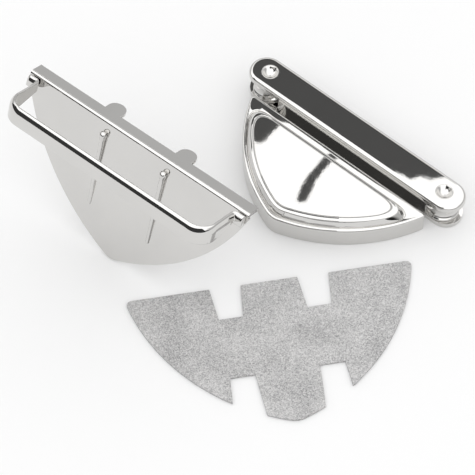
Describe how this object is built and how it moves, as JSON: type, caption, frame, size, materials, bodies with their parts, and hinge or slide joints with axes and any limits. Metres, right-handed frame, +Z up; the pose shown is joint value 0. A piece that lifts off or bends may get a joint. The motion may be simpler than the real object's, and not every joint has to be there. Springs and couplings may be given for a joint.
{
  "type": "handbag tuck lock clasp set",
  "caption": "Half-moon tuck lock for a handbag flap: a pronged catch plate with a strap loop, a tongue with a leather clamp bar, and a notched backing plate.",
  "frame": {"origin": "middle of the bounding box of the set as laid out, on the surface it lies on", "axes": "+X along the clamp bar, +Z up from the surface"},
  "size_m": [0.0908, 0.073, 0.0348],
  "materials": {
    "chrome": "mirror-bright nickel or chrome plating on pressed steel and zinc casting",
    "screw_steel": "bright plated screws",
    "zinc_sheet": "dull galvanised sheet with a fine mottled grain"
  },
  "bodies": {
    "tongue": {"tongue_shell": "chrome", "tongue_panel": "chrome", "tongue_base": "chrome", "base_screw_left": "screw_steel", "base_screw_right": "screw_steel"},
    "clamp_bar": {"clamp_cover": "chrome", "clamp_stud_left": "chrome", "clamp_stud_right": "chrome"},
    "screw_left": {"clamp_screw_left": "screw_steel"},
    "screw_right": {"clamp_screw_right": "screw_steel"},
    "catch": {"catch_plate": "chrome", "loop_strap": "chrome"},
    "backing": {"backing_plate": "zinc_sheet"}
  },
  "joints": [
    {"name": "clamp_open", "type": "slide", "parent": "tongue", "child": "clamp_bar", "axis": [0, 0, 1], "range_m": [0, 0.0012]},
    {"name": "screw_left_turn", "type": "hinge", "parent": "tongue", "child": "screw_left", "pos_m": [-0.01832, 0.0324, 0], "axis": [0, 0, 1], "range_deg": [-961, 0]},
    {"name": "screw_right_turn", "type": "hinge", "parent": "tongue", "child": "screw_right", "pos_m": [0.03168, 0.0324, 0], "axis": [0, 0, 1], "range_deg": [-961, 0]},
    {"name": "catch_lift", "type": "slide", "parent": "tongue", "child": "catch", "axis": [0, 0, 1], "range_m": [0, 0.04]},
    {"name": "backing_lift", "type": "slide", "parent": "tongue", "child": "backing", "axis": [0, 0, 1], "range_m": [0, 0.008]}
  ],
  "couplings": [
    {"joint": "screw_left_turn", "follows": "clamp_open", "rad_per_m": -13963},
    {"joint": "screw_right_turn", "follows": "clamp_open", "rad_per_m": -13963}
  ]
}
